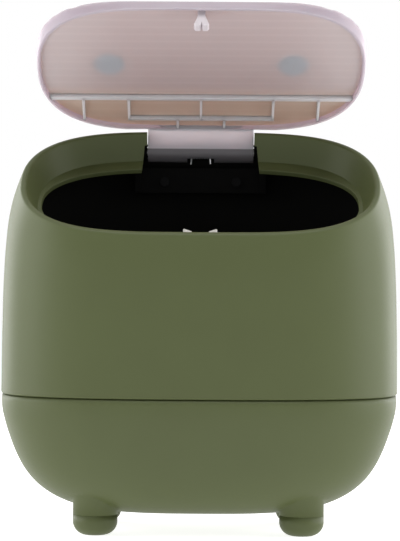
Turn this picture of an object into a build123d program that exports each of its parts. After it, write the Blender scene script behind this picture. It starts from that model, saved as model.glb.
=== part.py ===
from build123d import *
import os
from math import atan2, cos, degrees, hypot, pi, radians, sin

# A small desktop bin that opens at a push. A bowl on four feet carries an upper shell with a slanted top.
# A ribbed lid hangs on a sprung hinge at the back, and a touch latch under the front ledge holds it shut.
# Millimetres, +Z up, front towards -Y, X = 0 is the plane of symmetry. The lid is modelled open.

# Bowl
SEAM_Z = 65.4
BOWL_WALL = 2.4
BOWL_DEPTH_RATIO = 57.2 / 94.5
BOWL_FULLNESS = 0.9
# height and half width of the bowl's outline, from its flat underside up to the seam
BOWL_OUTLINE = (
    (10.0, 42.0),
    (11.4, 54.0),
    (16.0, 68.0),
    (21.8, 76.9),
    (30.5, 84.3),
    (44.9, 90.8),
    (64.7, 94.5),
)
SHADOW_GROOVE = 1.4
SPIGOT_TOP = 71.4
SPIGOT_WALL = 1.5
SPIGOT_GAP = 0.3
SPIGOT_LEAD = 0.3
SPIGOT_FLARE_LOW = 54.0
SPIGOT_FLARE_HIGH = 61.0

# Feet
FOOT_X = 48.5
FOOT_Y = 27.0
FOOT_R = 10.5
FOOT_SOLE_ROUND = 6.5
FOOT_TOP = 9.6
FOOT_PAD_HEIGHT = 12.0
FOOT_PEG_R = 4.0
FOOT_PEG_TOP = 17.5
FOOT_BOSS_WALL = 2.2
FOOT_BOSS_TOP = 21.5

# Upper shell: each ring is an oval on a slanted plane, given by its front point (Y, Z), its rear
# point (Y, Z), its half width, and the two powers that square the oval off at its sides and at its ends
SHELL_WALL = 2.2
SHELL_RINGS = (
    ((-57.5, 65.4), (57.5, 65.4), 95.0, 2.9, 2.4),
    ((-57.4, 74.5), (57.5, 82.0), 94.9, 2.9, 2.4),
    ((-57.3, 83.5), (57.5, 98.5), 94.8, 2.9, 2.4),
    ((-57.2, 92.5), (57.5, 115.0), 94.6, 2.9, 2.4),
    ((-57.0, 101.3), (57.4, 131.5), 94.3, 2.9, 2.4),
    ((-56.7, 110.2), (57.3, 148.0), 93.8, 3.0, 2.38),
    ((-56.2, 120.0), (57.0, 163.5), 92.9, 3.15, 2.35),
    ((-55.1, 129.5), (54.8, 180.5), 90.9, 3.45, 2.3),
    ((-52.37, 141.21), (40.37, 193.44), 85.9, 3.9, 2.3),
)
# how far each inner ring lies below its outer one, where the wall leans over towards the rim
INNER_RING_DROP = (0.0, 0.0, 0.0, 0.0, 0.1, 0.2, 0.4, 1.0, 2.4)
SEAM_CHAMFER = 0.5

# Recess in the slanted top: funnel wall, ledge and mouth, measured from the rim's outer edge
LIP_WIDTH = 2.4
LIP_ROUND = 1.0
RECESS_DEPTH = 12.6
RECESS_INSET = 7.7
COLLAR_WALL = 2.0
FUNNEL_ABOVE = 6.0
LEDGE_THICK = 2.2
MOUTH_HALF_WIDTH = 76.4
MOUTH_HALF_LENGTH = 36.4
MOUTH_SHIFT = 0.6
MOUTH_POWERS = (3.2, 2.3)

# Hinge
PIN_Y, PIN_Z = 46.0, 183.0
PIN_R = 1.5
PIN_BORE_R = 1.56
PIN_PRESS = 0.01
ARM_HALF_WIDTH = 26.4
ARM_PLATE = 2.2
ARM_WEB = 1.5
BARREL_R = 4.8
SLOT_HALF_WIDTH = 26.8
SLOT_FLOOR, SLOT_TOP, SLOT_BACK = 187.2, 202.0, 62.0
NOTCH_TOP = 186.2
NOTCH_HALF_TOP = 28.0
NOTCH_HALF_LOW = 29.3
NOTCH_LOW = 171.5
NOTCH_FRONT, NOTCH_BACK = 26.0, 50.4
SPRING_POCKET_HALF = 6.8
SPRING_POCKET_R = 3.7
TONGUE_H, TONGUE_T = 2.5, 1.2
CHEEK_IN, CHEEK_OUT = 29.8, 32.8
HUB_IN, HUB_R = 26.75, 3.4
CRADLE_FRONT = 43.0
CRADLE_PLATE_FRONT, CRADLE_PLATE_BACK = 48.0, 50.4
CRADLE_LOW, CRADLE_PLATE_TOP = 163.0, 175.5
CRADLE_SCREW_X, CRADLE_SCREW_Z = 18.0, 168.5
CRADLE_SCREW_R, CRADLE_SCREW_LENGTH = 1.2, 4.8
CRADLE_HEAD_R, CRADLE_HEAD_THICK = 2.4, 1.6
CRADLE_BOSS_R, CRADLE_BOSS_LENGTH = 3.2, 6.0
CRADLE_BOSS_HOLE = 3.4

# Hinge spring
COIL_R = 2.6
COIL_WIRE_R = 0.42
COIL_PITCH = 1.35
COIL_TURNS = 6.5
COIL_LEG = 5.6
COIL_GAP_SAMPLES = 8

# Lid, laid flat: s runs from its rear edge to its tip, and the skirt's lower edge is at height 0
LID_LENGTH = 91.2
LID_TOP_HALF_WIDTH = 79.7
LID_SKIRT_TAPER = 0.4
LID_SKIRT_TAPER_ENDS = 0.3
LID_HEIGHT = 5.0
LID_EDGE_ROUND = 0.8
LID_WALL = 1.5
LID_INNER_H = 2.6
LID_POWERS = (4.0, 2.3)
RIDGE_PITCH = 4.95
RIDGE_DEPTH = 0.85
CROSS_WALL_S, CROSS_WALL_T = 24.4, 2.0
REAR_RIB_S, REAR_RIB_HALF = 8.6, 35.7
RIB_T = 1.2
RIB_LOW = 0.4
SIDE_RIB_X = 58.0
SHORT_RIB_X = 11.6
DISC_X, DISC_S, DISC_R = 44.6, 47.5, 7.7
DISC_FLOOR_H, DISC_TOP_H = 3.6, 5.15
LID_SWING_R = 12.2
LID_OPEN_TILT = 36.0
LID_CLOSED_GAP, LID_CLOSED_DEPTH = 9.2, 5.05

# Striker
STRIKER_LENGTH = 10.6
STRIKER_NECK, STRIKER_HEAD = 3.6, 7.2
STRIKER_HEAD_LENGTH = 6.4
STRIKER_THICK = 4.0
STRIKER_SHOULDER_IN, STRIKER_SHOULDER_UP = 0.9, 3.6

# Touch latch: x across, y up the slope, z outwards from the rim plane
LATCH_T = 11.6
CLAW_TIP = 4.4
CLAW_PIVOT_X, CLAW_PIVOT_DEPTH = 4.9, 16.0
CLAW_HALF_THICK = 1.55
CLAW_ROOT_R = 1.9
CLAW_PIN_R = 0.8
CLAW_BORE_R = 0.85
PLUNGER_FACE, PLUNGER_END = 13.6, 24.0
PLUNGER_HALF_X, PLUNGER_HALF_Y = 7.1, 2.55
PLUNGER_SLOT_HALF, PLUNGER_SLOT_END = 1.7, 19.0
HOUSING_HALF_X, HOUSING_HALF_Y = 9.0, 3.8
HOUSING_BORE_X, HOUSING_BORE_Y = 7.3, 2.7
HOUSING_TOP, HOUSING_FLOOR, HOUSING_END = 11.8, 31.5, 33.0
HOUSING_CLEARANCE = 0.1
FLANGE_HALF_X, FLANGE_THICK = 17.0, 2.0
LATCH_SCREW_X, LATCH_SCREW_R, LATCH_SCREW_LENGTH = 13.0, 1.1, 3.4
LATCH_HEAD_R, LATCH_HEAD_THICK = 2.0, 1.2
LATCH_PILOT = 1.6
LATCH_SPRING_R, LATCH_SPRING_WIRE_R, LATCH_SPRING_TURNS = 1.8, 0.25, 5

OVAL_POINTS = 32
# where each oval's curve begins, in steps round it: surfaces that cross must not meet along their seams
INNER_FIRST, COLLAR_FIRST, RECESS_FIRST, MOUTH_FIRST = 2.5, 5.5, -3.5, 9.5

os.makedirs("parts", exist_ok=True)


def oval_reach(across, along, powers):
    """How far out a unit oval |x| ** powers[0] + |y| ** powers[1] = 1 lies in a given direction."""
    low, high = 0.5, 2.0
    for _ in range(40):
        middle = (low + high) / 2
        if abs(middle * across) ** powers[0] + abs(middle * along) ** powers[1] < 1:
            low = middle
        else:
            high = middle
    return low


def oval(plane, half_x, half_y, powers, first=0.0):
    """Closed smooth oval on a plane: |x / half_x| ** powers[0] + |y / half_y| ** powers[1] = 1."""
    points = []
    for i in range(OVAL_POINTS):
        turn = 2 * pi * (i + first) / OVAL_POINTS
        reach = oval_reach(cos(turn), sin(turn), powers)
        point = Vector(half_x * reach * cos(turn), half_y * reach * sin(turn), 0)
        points.append(plane.from_local_coords(point))
    steps = [i / OVAL_POINTS for i in range(OVAL_POINTS + 1)]
    return Wire([Edge.make_spline(points, periodic=True, parameters=steps)])


def level(z):
    return Plane((0, 0, z), x_dir=(1, 0, 0), z_dir=(0, 0, 1))


def slant(front, rear):
    """Plane through a front and a rear point, its y up the slope, and half the length between them."""
    run, rise = rear[0] - front[0], rear[1] - front[1]
    length = hypot(run, rise)
    middle = (0, (front[0] + rear[0]) / 2, (front[1] + rear[1]) / 2)
    return Plane(middle, x_dir=(1, 0, 0), z_dir=(0, -rise / length, run / length)), length / 2


def loft_solid(wires, ruled=False):
    return Solid.make_loft(wires, ruled)


def box_between(x0, x1, y0, y1, z0, z1):
    return Pos((x0 + x1) / 2, (y0 + y1) / 2, (z0 + z1) / 2) * Box(x1 - x0, y1 - y0, z1 - z0)


def rod_x(x0, x1, y, z, r):
    return Pos((x0 + x1) / 2, y, z) * Rot(0, 90, 0) * Cylinder(r, abs(x1 - x0))


def side_profile(points, x0, x1):
    """Solid between x0 and x1 whose outline is a polygon of (Y, Z) points."""
    outline = Wire.make_polygon([Vector(x0, y, z) for y, z in points], close=True)
    return Solid.extrude(Face(outline), Vector(x1 - x0, 0, 0))


def save(shape, node):
    export_step(shape, f"parts/{node}.step")


# The rim plane, which the recess, the latch and the closed lid are measured from
RIM, RIM_HALF = slant(SHELL_RINGS[-1][0], SHELL_RINGS[-1][1])
RIM_HALF_WIDTH = SHELL_RINGS[-1][2]
RIM_POWERS = SHELL_RINGS[-1][3:]
SLOPE = degrees(atan2(RIM.y_dir.Z, RIM.y_dir.Y))


def rim_oval(depth, inset, first):
    """Oval at a depth below the rim plane, drawn in from the rim's outer edge."""
    plane = RIM.offset(-depth)
    return oval(plane, RIM_HALF_WIDTH - inset, RIM_HALF - inset, RIM_POWERS, first)


# Bowl and feet

def bowl_half_depth(half_width):
    widest = BOWL_OUTLINE[-1][1]
    return widest * BOWL_DEPTH_RATIO * (half_width / widest) ** BOWL_FULLNESS


def bowl_ring(z, half_width, inset=0.0):
    powers = SHELL_RINGS[0][3:]
    return oval(level(z), half_width - inset, bowl_half_depth(half_width) - inset, powers)


def bowl_body():
    return loft_solid([bowl_ring(z, a) for z, a in BOWL_OUTLINE])


def bowl_cavity():
    """Inside of the bowl: the outline moved in along its own normal, then drawn in under the spigot."""
    rings = []
    for i, (z, a) in enumerate(BOWL_OUTLINE[:-1]):
        z_next, a_next = BOWL_OUTLINE[i + 1]
        rise, run = z_next - z, a_next - a
        length = hypot(rise, run)
        z_in = z + BOWL_WALL * run / length
        if z_in < SPIGOT_FLARE_LOW:
            rings.append(bowl_ring(z_in, a, BOWL_WALL * rise / length))
    top_width = BOWL_OUTLINE[-1][1]
    near_top = BOWL_OUTLINE[-2][1] + (top_width - BOWL_OUTLINE[-2][1]) * 0.6
    rings.append(bowl_ring(SPIGOT_FLARE_LOW, near_top, BOWL_WALL))
    throat = SHELL_WALL + SPIGOT_GAP + SPIGOT_WALL
    neck = loft_solid(
        [
            bowl_ring(SPIGOT_FLARE_LOW, near_top, BOWL_WALL),
            shell_ring_at_seam(SPIGOT_FLARE_HIGH, throat),
            shell_ring_at_seam(SPIGOT_TOP + 1, throat),
        ],
        ruled=True,
    )
    return loft_solid(rings) + neck


def shell_ring_at_seam(z, inset, first=0.0):
    front, rear, half_width, across, along = SHELL_RINGS[0]
    return oval(level(z), half_width - inset, (rear[0] - front[0]) / 2 - inset, (across, along), first)


def foot_places():
    for name, x, y in (
        ("front_left_foot", -FOOT_X, -FOOT_Y),
        ("front_right_foot", FOOT_X, -FOOT_Y),
        ("rear_left_foot", -FOOT_X, FOOT_Y),
        ("rear_right_foot", FOOT_X, FOOT_Y),
    ):
        yield name, x, y


def make_bowl(outer):
    land = loft_solid([shell_ring_at_seam(BOWL_OUTLINE[-1][0] - 1, SHADOW_GROOVE),
                       shell_ring_at_seam(SEAM_Z, SHADOW_GROOVE)], ruled=True)
    spigot_inset = SHELL_WALL + SPIGOT_GAP
    spigot = loft_solid([shell_ring_at_seam(SPIGOT_FLARE_HIGH, spigot_inset),
                         shell_ring_at_seam(SPIGOT_TOP, spigot_inset + SPIGOT_LEAD)], ruled=True)
    body = outer + land + spigot
    for _, x, y in foot_places():
        body += upright(x, y, FOOT_R, FOOT_TOP, FOOT_TOP + FOOT_PAD_HEIGHT)
    bowl = body - bowl_cavity()
    for _, x, y in foot_places():
        bowl += upright(x, y, FOOT_PEG_R + FOOT_BOSS_WALL, FOOT_TOP, FOOT_BOSS_TOP)
        bowl -= upright(x, y, FOOT_PEG_R, FOOT_TOP - 1, FOOT_PEG_TOP)
    return bowl


def upright(x, y, radius, low, high):
    return Pos(x, y, (low + high) / 2) * Cylinder(radius, high - low)


def make_foot(x, y):
    stub = upright(x, y, FOOT_R, 0, FOOT_TOP)
    stub = fillet(stub.edges().group_by(Axis.Z)[0], FOOT_SOLE_ROUND)
    return stub + upright(x, y, FOOT_PEG_R, FOOT_TOP - 1, FOOT_PEG_TOP)


# Upper shell

def shell_outer():
    return loft_solid([oval(slant(f, r)[0], a, slant(f, r)[1], (n, m)) for f, r, a, n, m in SHELL_RINGS])


def shell_inner():
    rings = [shell_ring_at_seam(SEAM_Z - 3, SHELL_WALL, INNER_FIRST)]
    for (front, rear, a, n, m), drop in zip(SHELL_RINGS, INNER_RING_DROP):
        plane, half = slant(front, rear)
        rings.append(oval(plane.offset(-drop), a - SHELL_WALL, half - SHELL_WALL, (n, m), INNER_FIRST))
    return loft_solid(rings)


def funnel(low_depth, inset_at_rim, first):
    """Solid inside a funnel that narrows inwards from above the rim down to a depth below it."""
    slope = (RECESS_INSET - LIP_WIDTH) / RECESS_DEPTH
    low = rim_oval(low_depth, inset_at_rim + low_depth * slope, first)
    high = rim_oval(-FUNNEL_ABOVE, inset_at_rim - FUNNEL_ABOVE * slope, first)
    return loft_solid([low, high], True)


def collar_envelope():
    """Outside of the funnel wall and ledge, with the recess still filled in."""
    return funnel(RECESS_DEPTH + LEDGE_THICK, LIP_WIDTH - COLLAR_WALL, COLLAR_FIRST)


def recess():
    return funnel(RECESS_DEPTH, LIP_WIDTH, RECESS_FIRST)


def mouth():
    top = RIM.offset(-RECESS_DEPTH + 2)
    low = RIM.offset(-RECESS_DEPTH - LEDGE_THICK - 4)
    wires = []
    for plane in (low, top):
        moved = Plane(plane.from_local_coords(Vector(0, MOUTH_SHIFT, 0)), plane.x_dir, plane.z_dir)
        wires.append(oval(moved, MOUTH_HALF_WIDTH, MOUTH_HALF_LENGTH, MOUTH_POWERS, MOUTH_FIRST))
    return loft_solid(wires, True)


def hinge_openings():
    """Slot across the shoulder for the arm, and the wider notch below it through collar and ledge."""
    half = SLOT_HALF_WIDTH
    slot = box_between(-half, half, NOTCH_FRONT, SLOT_BACK, SLOT_FLOOR, SLOT_TOP)
    front_slot = box_between(-half, half, NOTCH_FRONT, NOTCH_BACK - 4, NOTCH_TOP, SLOT_FLOOR)
    corners = [(-NOTCH_HALF_LOW, NOTCH_LOW), (NOTCH_HALF_LOW, NOTCH_LOW),
               (NOTCH_HALF_TOP, NOTCH_TOP), (-NOTCH_HALF_TOP, NOTCH_TOP)]
    outline = Wire.make_polygon([Vector(x, NOTCH_FRONT, z) for x, z in corners], close=True)
    notch = Solid.extrude(Face(outline), Vector(0, NOTCH_BACK - NOTCH_FRONT, 0))
    return slot + front_slot + notch


def latch_place():
    """Where the latch's axis crosses the rim plane."""
    y = -RIM_HALF + LATCH_T
    return Plane(RIM.from_local_coords(Vector(0, y, 0)), RIM.x_dir, RIM.z_dir)


def cradle_boss_holes(depth_back):
    holes = []
    for x in (-CRADLE_SCREW_X, CRADLE_SCREW_X):
        middle = (CRADLE_PLATE_FRONT + depth_back) / 2
        holes.append(Pos(x, middle, CRADLE_SCREW_Z) * Rot(90, 0, 0) * Cylinder(
            CRADLE_SCREW_R, depth_back - CRADLE_PLATE_FRONT))
    return holes


def lies_on(edge, plane):
    return all(abs(plane.to_local_coords(edge @ t).Z) < 0.01 for t in (0.0, 0.3, 0.6))


def make_shell():
    outer = shell_outer()
    inner = shell_inner()
    hollow = inner - collar_envelope()
    shell = outer - hollow - recess() - mouth()
    shell = fillet([e for e in shell.edges() if lies_on(e, RIM)], LIP_ROUND)
    seam_edges = [e for e in shell.edges() if lies_on(e, level(SEAM_Z))]
    shell = chamfer(max(seam_edges, key=lambda e: e.length), SEAM_CHAMFER)
    shell = shell - hinge_openings()
    for x in (-CRADLE_SCREW_X, CRADLE_SCREW_X):
        boss = Cylinder(CRADLE_BOSS_R, CRADLE_BOSS_LENGTH)
        boss = Pos(x, CRADLE_PLATE_BACK + CRADLE_BOSS_LENGTH / 2, CRADLE_SCREW_Z) * Rot(90, 0, 0) * boss
        shell = shell + (boss & outer)
    for hole in cradle_boss_holes(CRADLE_PLATE_BACK + CRADLE_BOSS_HOLE):
        shell = shell - hole
    latch = latch_place()
    half_x, half_y = HOUSING_HALF_X + HOUSING_CLEARANCE, HOUSING_HALF_Y + HOUSING_CLEARANCE
    opening = latch * box_between(-half_x, half_x, -half_y, half_y, -RECESS_DEPTH - LEDGE_THICK - 1,
                                  -RECESS_DEPTH + 1)
    shell = shell - opening
    for x in (-LATCH_SCREW_X, LATCH_SCREW_X):
        pilot = latch * Pos(x, 0, -RECESS_DEPTH - LEDGE_THICK) * Cylinder(LATCH_SCREW_R, 2 * LATCH_PILOT)
        shell = shell - pilot
    return shell, hollow


# Hinge

def make_cradle(hollow):
    """Two cheeks for the pin, joined by a plate that is screwed to the rear wall."""
    cradle = box_between(-CHEEK_OUT, CHEEK_OUT, CRADLE_PLATE_FRONT, CRADLE_PLATE_BACK, CRADLE_LOW,
                         CRADLE_PLATE_TOP)
    for side in (-1, 1):
        x0, x1 = sorted((side * CHEEK_IN, side * CHEEK_OUT))
        cheek = side_profile([(CRADLE_FRONT, 178.5), (CRADLE_PLATE_BACK - 4, CRADLE_LOW),
                              (CRADLE_PLATE_BACK, CRADLE_LOW), (CRADLE_PLATE_BACK, 186.5),
                              (47.5, 189.0), (CRADLE_FRONT, 189.0)], x0, x1)
        hub = rod_x(side * HUB_IN, side * CHEEK_OUT, PIN_Y, PIN_Z, HUB_R)
        cradle = cradle + (cheek & hollow) + hub
    cradle = cradle - rod_x(-CHEEK_OUT - 1, CHEEK_OUT + 1, PIN_Y, PIN_Z, PIN_R - PIN_PRESS)
    for hole in cradle_boss_holes(CRADLE_PLATE_BACK):
        cradle = cradle - hole
    return cradle


def make_cradle_screws():
    screws = []
    for x in (-CRADLE_SCREW_X, CRADLE_SCREW_X):
        under_head = Pos(x, CRADLE_PLATE_FRONT, CRADLE_SCREW_Z) * Rot(90, 0, 0)
        head = Pos(0, 0, CRADLE_HEAD_THICK / 2) * Cylinder(CRADLE_HEAD_R, CRADLE_HEAD_THICK)
        shank = Pos(0, 0, -CRADLE_SCREW_LENGTH / 2) * Cylinder(CRADLE_SCREW_R, CRADLE_SCREW_LENGTH)
        screws.append(under_head * (head + shank))
    return Compound(screws)


def rear_edge_open():
    """Rear lower edge of the lid's skirt when open: its closed place, turned about the pin."""
    closed = RIM.from_local_coords(Vector(0, RIM_HALF - LID_CLOSED_GAP, -LID_CLOSED_DEPTH))
    turn = -radians(SLOPE + LID_OPEN_TILT)
    y, z = closed.Y - PIN_Y, closed.Z - PIN_Z
    return PIN_Y + y * cos(turn) - z * sin(turn), PIN_Z + y * sin(turn) + z * cos(turn)


def make_arm():
    """Strap that wraps the pin in a barrel, with a web at each side and a tongue in the lid's rear edge."""
    edge_y, edge_z = rear_edge_open()
    tilt = radians(LID_OPEN_TILT)
    along = Vector(0, -cos(tilt), sin(tilt))
    up = Vector(0, sin(tilt), cos(tilt))
    edge = Vector(0, edge_y, edge_z)
    near, far = LID_WALL, LID_WALL - TONGUE_T
    corners = ((near, 0.0), (near, TONGUE_H), (far, TONGUE_H), (far, 0.0))
    tongue = [(c.Y, c.Z) for c in (edge + along * s + up * h for s, h in corners)]
    front = PIN_Y - BARREL_R
    plate = side_profile([(front, PIN_Z), *tongue, (edge_y, edge_z - 0.1), (front + ARM_PLATE, PIN_Z)],
                         -ARM_HALF_WIDTH, ARM_HALF_WIDTH)
    arm = plate + rod_x(-ARM_HALF_WIDTH, ARM_HALF_WIDTH, PIN_Y, PIN_Z, BARREL_R)
    for side in (-1, 1):
        x0, x1 = sorted((side * (ARM_HALF_WIDTH - ARM_WEB), side * ARM_HALF_WIDTH))
        web = side_profile([(front + 0.3, PIN_Z), (edge_y - 1.0, edge_z), (edge_y, edge_z - 0.1),
                            (PIN_Y + 1.8, PIN_Z + 8.0), (PIN_Y + 2.6, PIN_Z + 4.0), (PIN_Y, PIN_Z)], x0, x1)
        arm = arm + web
    half = SPRING_POCKET_HALF
    pocket = rod_x(-half, half, PIN_Y, PIN_Z, SPRING_POCKET_R)
    behind = box_between(-half, half, PIN_Y - 1.0, PIN_Y + 8, PIN_Z - 8, PIN_Z + 8)
    below = box_between(-half, half, PIN_Y - SPRING_POCKET_R, PIN_Y, PIN_Z - 8, PIN_Z - 1.5)
    arm = arm - pocket - behind - below
    return arm - rod_x(-ARM_HALF_WIDTH - 1, ARM_HALF_WIDTH + 1, PIN_Y, PIN_Z, PIN_BORE_R)


def biarc(start, start_dir, end, end_dir):
    """Two arcs that leave start and reach end along the given directions."""
    gap = end - start
    both = start_dir + end_dir
    a = 2 * (1 - start_dir.dot(end_dir))
    b = 2 * gap.dot(both)
    c = -gap.dot(gap)
    reach = -c / b if abs(a) < 1e-9 else (-b + (b * b - 4 * a * c) ** 0.5) / (2 * a)
    knee_a = start + start_dir * reach
    knee_b = end - end_dir * reach
    middle = (knee_a + knee_b) * 0.5
    first = Edge.make_tangent_arc(start, start_dir, middle)
    second = Edge.make_tangent_arc(middle, (knee_b - knee_a).normalized(), end)
    return [first, second]


def coil_path(place, radius, pitch, turns):
    """Helix about the local z axis, as a pair of arcs for each half turn; returns edges and end data."""
    edges = []
    steps = int(2 * turns)

    def at(i):
        angle = pi * i
        rise = pitch * i / 2
        point = place.from_local_coords(Vector(radius * cos(angle), radius * sin(angle), rise))
        ahead = Vector(-radius * sin(angle), radius * cos(angle), pitch / (2 * pi))
        return point, (place.from_local_coords(ahead) - place.origin).normalized()

    for i in range(steps):
        (p, d), (q, e) = at(i), at(i + 1)
        edges += biarc(p, d, q, e)
    return edges, at(0), at(steps)


def least_gap(edges, wire_r, half_turn):
    """Least gap between a wire's surfaces, on points along it that lie over half a turn apart."""
    points, travelled, passed = [], [], 0.0
    for edge in edges:
        for k in range(COIL_GAP_SAMPLES):
            points.append(edge @ (k / COIL_GAP_SAMPLES))
            travelled.append(passed + edge.length * k / COIL_GAP_SAMPLES)
        passed += edge.length
    least = passed
    for i, p in enumerate(points):
        for j in range(i + 1, len(points)):
            if travelled[j] - travelled[i] > half_turn:
                least = min(least, (points[j] - p).length)
    return least - 2 * wire_r


def tube_along(edges, start, start_dir, wire_r):
    section = Wire.make_circle(wire_r, Plane(origin=start, z_dir=start_dir))
    return Solid.sweep(Face(section), path=Wire(edges))


def make_hinge_spring():
    """Torsion spring round the pin; both legs run down below the barrel."""
    half = COIL_PITCH * COIL_TURNS / 2
    place = Plane((-half, PIN_Y, PIN_Z), x_dir=(0, 1, 0), z_dir=(1, 0, 0))
    edges, (p0, d0), (p1, d1) = coil_path(place, COIL_R, COIL_PITCH, COIL_TURNS)
    start = p0 - d0 * COIL_LEG
    tail = p1 + d1 * COIL_LEG
    run = [Edge.make_line(start, p0)] + edges + [Edge.make_line(p1, tail)]
    print("hinge spring: least gap", round(least_gap(run, COIL_WIRE_R, pi * COIL_R), 2),
          "leg ends", [round(v, 1) for v in (*start, *tail)])
    return tube_along(run, start, d0, COIL_WIRE_R)


# Lid, built flat and then set in its open place

def lid_oval(height, inset_x, inset_y):
    plane = Plane((0, -LID_LENGTH / 2, height), x_dir=(1, 0, 0), z_dir=(0, 0, 1))
    return oval(plane, LID_TOP_HALF_WIDTH - inset_x, LID_LENGTH / 2 - inset_y, LID_POWERS)


def ridge_cutter():
    """Everything above a row of ridges that run from side to side."""
    count = round(LID_LENGTH / RIDGE_PITCH)
    pitch = LID_LENGTH / count
    valley = LID_HEIGHT - RIDGE_DEPTH
    x = -LID_TOP_HALF_WIDTH - 5
    edges = []
    for i in range(count):
        y0, y1 = -i * pitch, -(i + 1) * pitch
        edges.append(Edge.make_three_point_arc(Vector(x, y0, valley), Vector(x, (y0 + y1) / 2, LID_HEIGHT),
                                               Vector(x, y1, valley)))
    ends = [Vector(x, -LID_LENGTH, valley), Vector(x, -LID_LENGTH - 4, valley),
            Vector(x, -LID_LENGTH - 4, LID_HEIGHT + 6), Vector(x, 4, LID_HEIGHT + 6), Vector(x, 4, valley),
            Vector(x, 0, valley)]
    edges += [Edge.make_line(a, b) for a, b in zip(ends, ends[1:])]
    return Solid.extrude(Face(Wire(edges)), Vector(-2 * x, 0, 0))


def lid_body():
    low = lid_oval(0, LID_SKIRT_TAPER, LID_SKIRT_TAPER_ENDS)
    high = lid_oval(LID_HEIGHT - LID_EDGE_ROUND, 0, 0)
    top = lid_oval(LID_HEIGHT, LID_EDGE_ROUND, LID_EDGE_ROUND)
    return loft_solid([low, high], True) + loft_solid([high, top], True)


def lid_inside():
    low = lid_oval(-1, LID_SKIRT_TAPER + LID_WALL, LID_SKIRT_TAPER_ENDS + LID_WALL)
    high = lid_oval(LID_INNER_H, LID_SKIRT_TAPER * 0.5 + LID_WALL, LID_SKIRT_TAPER_ENDS * 0.5 + LID_WALL)
    return loft_solid([low, high], True)


def lid_ribs():
    """Cross wall, rear rib and the short ribs behind them, on the underside."""
    top = LID_INNER_H + 0.4
    wide = LID_TOP_HALF_WIDTH
    half = CROSS_WALL_T / 2
    ribs = box_between(-wide, wide, -CROSS_WALL_S - half, -CROSS_WALL_S + half, RIB_LOW, top)
    ribs += box_between(-REAR_RIB_HALF, REAR_RIB_HALF, -REAR_RIB_S - RIB_T / 2, -REAR_RIB_S + RIB_T / 2,
                        RIB_LOW, top)
    for x, s0, s1 in (
        (-SIDE_RIB_X, 0.0, CROSS_WALL_S),
        (SIDE_RIB_X, 0.0, CROSS_WALL_S),
        (-REAR_RIB_HALF, REAR_RIB_S, CROSS_WALL_S),
        (REAR_RIB_HALF, REAR_RIB_S, CROSS_WALL_S),
        (0.0, REAR_RIB_S, CROSS_WALL_S),
        (-SHORT_RIB_X, 1.5, REAR_RIB_S),
        (SHORT_RIB_X, 1.5, REAR_RIB_S),
    ):
        ribs += box_between(x - RIB_T / 2, x + RIB_T / 2, -s1, -s0, RIB_LOW, top)
    return ribs


def disc(x, floor, top, radius):
    return Pos(x, -DISC_S, (floor + top) / 2) * Cylinder(radius, top - floor)


def make_lid_flat():
    body = lid_body()
    inside = lid_inside()
    lid = body - ridge_cutter() - inside
    lid = lid + (lid_ribs() & inside)
    for x in (-DISC_X, DISC_X):
        lid = lid - disc(x, DISC_FLOOR_H, LID_HEIGHT + 1, DISC_R)
    return lid


def make_striker_flat():
    """Neck and flared head with a cleft, standing on the lid's inner face."""
    root = LID_INNER_H
    tip = root - STRIKER_LENGTH
    head = tip + STRIKER_HEAD_LENGTH
    neck_half, head_half = STRIKER_NECK / 2, STRIKER_HEAD / 2
    right = [(0.6, tip), (head_half - 0.8, tip), (head_half, tip + 1.2),
             (head_half - STRIKER_SHOULDER_IN, tip + STRIKER_SHOULDER_UP),
             (neck_half, head), (neck_half, root)]
    left = [(-x, z) for x, z in reversed(right)]
    outline = left + [(0, tip + 2.2)] + right
    stands_at = 2 * RIM_HALF - LID_CLOSED_GAP - LATCH_T + LID_SKIRT_TAPER_ENDS
    y = -stands_at - STRIKER_THICK / 2
    wire = Wire.make_polygon([Vector(px, y, pz) for px, pz in outline], close=True)
    return Solid.extrude(Face(wire), Vector(0, STRIKER_THICK, 0))


# Touch latch

def claw_flat(side):
    """One claw in the latch's x-z plane: a root round its pin, an arm and an inward hook."""
    tip = -CLAW_TIP
    root = -CLAW_PIVOT_DEPTH
    outline = [(4.0, tip - 1.3), (7.5, tip), (8.0, tip - 0.5), (6.8, root + 3), (6.8, root), (3.1, root),
               (4.6, root + 3.6), (5.6, tip - 2.6), (4.0, tip - 1.9)]
    wire = Wire.make_polygon([Vector(side * px, -CLAW_HALF_THICK, pz) for px, pz in outline], close=True)
    arm = Solid.extrude(Face(wire), Vector(0, 2 * CLAW_HALF_THICK, 0))
    centre = Pos(side * CLAW_PIVOT_X, 0, root) * Rot(90, 0, 0)
    knuckle = centre * Cylinder(CLAW_ROOT_R, 2 * CLAW_HALF_THICK)
    return arm + knuckle - centre * Cylinder(CLAW_BORE_R, 4 * CLAW_HALF_THICK)


def claw_pin(side, radius, half_length):
    return Pos(side * CLAW_PIVOT_X, 0, -CLAW_PIVOT_DEPTH) * Rot(90, 0, 0) * Cylinder(radius, 2 * half_length)


def make_plunger():
    block = box_between(-PLUNGER_HALF_X, PLUNGER_HALF_X, -PLUNGER_HALF_Y, PLUNGER_HALF_Y, -PLUNGER_END,
                        -PLUNGER_FACE)
    slot = box_between(-PLUNGER_HALF_X - 1, PLUNGER_HALF_X + 1, -PLUNGER_SLOT_HALF, PLUNGER_SLOT_HALF,
                       -PLUNGER_SLOT_END, -PLUNGER_FACE + 1)
    block = block - slot
    for side in (-1, 1):
        block = block - claw_pin(side, CLAW_PIN_R - PIN_PRESS, PLUNGER_HALF_Y + 1)
    return block


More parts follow.
